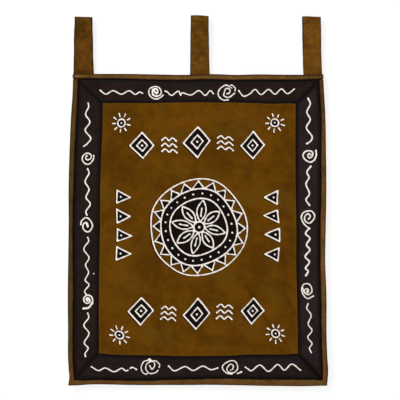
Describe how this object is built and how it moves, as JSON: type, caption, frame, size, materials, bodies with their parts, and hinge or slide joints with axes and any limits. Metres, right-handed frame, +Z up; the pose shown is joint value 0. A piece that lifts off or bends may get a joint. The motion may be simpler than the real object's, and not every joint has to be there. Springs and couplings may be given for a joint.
{
  "type": "cotton wall hanging",
  "caption": "Upright rectangular cotton batik wall hanging with a mitred dark border, folded edge binding and tab loops along its top edge for a rod.",
  "frame": {"origin": "the hanging line: the inside top of the middle tab, midway between the cloth's sides", "axes": "+Z up, +X to the right as seen from the front, -Y towards the viewer"},
  "size_m": [0.6049, 0.0134, 0.8621],
  "materials": {
    "ground_cotton": "matte batik-dyed cotton with cream and black wax-resist figures",
    "border_cotton": "matte dark brown cotton with cream wax-resist waves and spirals",
    "binding_cotton": "matte brown cotton, folded and topstitched",
    "tab_cotton": "matte brown cotton, pressed and lightly smudged"
  },
  "bodies": {
    "root": {"ground_cloth": "ground_cotton", "border_top": "border_cotton", "border_bottom": "border_cotton", "border_left": "border_cotton", "border_right": "border_cotton", "binding_left": "binding_cotton", "binding_right": "binding_cotton", "binding_bottom": "binding_cotton", "heading": "binding_cotton", "tab_left": "tab_cotton", "tab_middle": "tab_cotton", "tab_right": "tab_cotton"}
  },
  "joints": []
}
